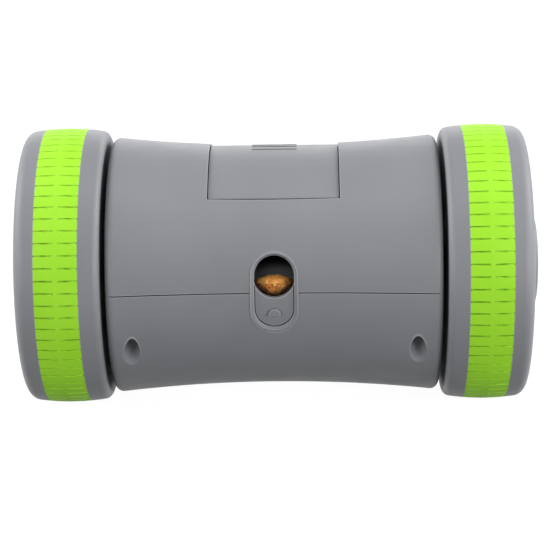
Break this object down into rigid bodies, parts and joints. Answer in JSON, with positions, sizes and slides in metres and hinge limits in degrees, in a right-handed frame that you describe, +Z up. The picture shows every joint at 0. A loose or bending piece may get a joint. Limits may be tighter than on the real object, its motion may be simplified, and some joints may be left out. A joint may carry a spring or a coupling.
{
  "type": "roaming treat dispenser",
  "caption": "Hourglass pet treat dispenser that drives itself on two large ribbed wheels, with a hinged fill door and sliding gates over its treat holes.",
  "frame": {"origin": "on the wheel axis, midway between the wheels, which is the centre of the object's box", "axes": "+X along the wheel axis, -Y towards the front with the pictured treat hole, +Y towards the back with the power button, +Z up through the fill door"},
  "size_m": [0.215, 0.114, 0.114],
  "materials": {
    "grey_abs": "injection-moulded ABS, cool mid grey, fine satin spark texture",
    "lime_rubber": "moulded thermoplastic rubber, bright lime green, soft satin",
    "zinc_steel": "zinc-plated steel screws",
    "ground_steel": "ground steel shafts and pins",
    "bronze": "plain sintered bronze and brass",
    "white_acetal": "natural white acetal",
    "black_plastic": "black moulded plastic of the gearboxes and the treat hopper",
    "motor_can": "drawn steel motor can",
    "cell_can": "plain sleeved battery cell",
    "contact_plate": "nickel-plated spring steel",
    "board_laminate": "green glass-fibre circuit board",
    "board_parts": "black moulded electronic parts"
  },
  "bodies": {
    "root": {"upper_housing": "grey_abs", "lower_housing": "grey_abs", "housing_screws": "zinc_steel", "front_gate_frame": "grey_abs", "rear_gate_frame": "grey_abs", "door_hinge_pin": "ground_steel", "hopper_tray": "black_plastic", "hopper_screws": "zinc_steel", "battery_cells": "cell_can", "battery_contacts": "contact_plate", "battery_springs": "contact_plate", "circuit_board": "board_laminate", "board_components": "board_parts", "board_screws": "zinc_steel", "power_switch": "board_parts", "gearbox_screws": "zinc_steel", "gearbox_mount_screws": "zinc_steel", "motor_screws": "zinc_steel", "gear_pins": "ground_steel", "outer_bushes": "bronze", "inner_bushes": "bronze", "left_gearbox_frame": "black_plastic", "left_gearbox_cover": "black_plastic", "left_motor": "motor_can", "right_gearbox_frame": "black_plastic", "right_gearbox_cover": "black_plastic", "right_motor": "motor_can"},
    "left_wheel": {"left_output_gear": "white_acetal", "left_axle": "ground_steel", "left_axle_clip": "ground_steel", "left_axle_screw": "zinc_steel", "left_wheel_inner_shell": "grey_abs", "left_wheel_outer_shell": "grey_abs", "left_wheel_screws": "zinc_steel", "left_tread": "lime_rubber", "left_hub_cap": "grey_abs"},
    "left_second_gear": {"left_second_gear": "white_acetal"},
    "left_first_gear": {"left_first_gear": "white_acetal"},
    "left_rotor": {"left_motor_pinion": "bronze"},
    "right_wheel": {"right_output_gear": "white_acetal", "right_axle": "ground_steel", "right_axle_clip": "ground_steel", "right_axle_screw": "zinc_steel", "right_wheel_inner_shell": "grey_abs", "right_wheel_outer_shell": "grey_abs", "right_wheel_screws": "zinc_steel", "right_tread": "lime_rubber", "right_hub_cap": "grey_abs"},
    "right_second_gear": {"right_second_gear": "white_acetal"},
    "right_first_gear": {"right_first_gear": "white_acetal"},
    "right_rotor": {"right_motor_pinion": "bronze"},
    "fill_door": {"fill_door": "grey_abs"},
    "front_gate": {"front_gate": "grey_abs"},
    "rear_gate": {"rear_gate": "grey_abs"},
    "battery_door": {"battery_door": "grey_abs", "battery_door_screws": "zinc_steel"},
    "power_button": {"power_button": "lime_rubber", "switch_plunger": "white_acetal"}
  },
  "joints": [
    {"name": "left_wheel_spin", "type": "hinge", "parent": "root", "child": "left_wheel", "pos_m": [0, 0, 0], "axis": [1, 0, 0], "continuous": true},
    {"name": "left_second_gear_spin", "type": "hinge", "parent": "root", "child": "left_second_gear", "pos_m": [0, 0.011, -0.01905], "axis": [1, 0, 0], "continuous": true},
    {"name": "left_first_gear_spin", "type": "hinge", "parent": "root", "child": "left_first_gear", "pos_m": [0, 0.00041, -0.02355], "axis": [1, 0, 0], "continuous": true},
    {"name": "left_rotor_spin", "type": "hinge", "parent": "root", "child": "left_rotor", "pos_m": [0, -0.00907, -0.03004], "axis": [1, 0, 0], "continuous": true},
    {"name": "right_wheel_spin", "type": "hinge", "parent": "root", "child": "right_wheel", "pos_m": [0, 0, 0], "axis": [1, 0, 0], "continuous": true},
    {"name": "right_second_gear_spin", "type": "hinge", "parent": "root", "child": "right_second_gear", "pos_m": [0, 0.011, -0.01905], "axis": [1, 0, 0], "continuous": true},
    {"name": "right_first_gear_spin", "type": "hinge", "parent": "root", "child": "right_first_gear", "pos_m": [0, 0.00041, -0.02355], "axis": [1, 0, 0], "continuous": true},
    {"name": "right_rotor_spin", "type": "hinge", "parent": "root", "child": "right_rotor", "pos_m": [0, -0.00907, -0.03004], "axis": [1, 0, 0], "continuous": true},
    {"name": "fill_door_hinge", "type": "hinge", "parent": "root", "child": "fill_door", "pos_m": [0, 0.03323, 0.03323], "axis": [-1, 0, 0], "range_deg": [0, 100]},
    {"name": "front_gate_slide", "type": "hinge", "parent": "root", "child": "front_gate", "pos_m": [0, 0, 0], "axis": [-1, 0, 0], "range_deg": [0, 6]},
    {"name": "rear_gate_slide", "type": "hinge", "parent": "root", "child": "rear_gate", "pos_m": [0, 0, 0], "axis": [1, 0, 0], "range_deg": [0, 6]},
    {"name": "battery_door_lift", "type": "slide", "parent": "root", "child": "battery_door", "axis": [0, 0, -1], "range_m": [0, 0.018]},
    {"name": "power_button_press", "type": "slide", "parent": "root", "child": "power_button", "axis": [0, -1, 0], "range_m": [0, 0.001], "stiffness_N_per_m": 300}
  ],
  "couplings": [
    {"joint": "left_second_gear_spin", "follows": "left_wheel_spin", "ratio": -4},
    {"joint": "left_first_gear_spin", "follows": "left_wheel_spin", "ratio": 14.4},
    {"joint": "left_rotor_spin", "follows": "left_wheel_spin", "ratio": -51.84},
    {"joint": "right_second_gear_spin", "follows": "right_wheel_spin", "ratio": -4},
    {"joint": "right_first_gear_spin", "follows": "right_wheel_spin", "ratio": 14.4},
    {"joint": "right_rotor_spin", "follows": "right_wheel_spin", "ratio": -51.84}
  ]
}
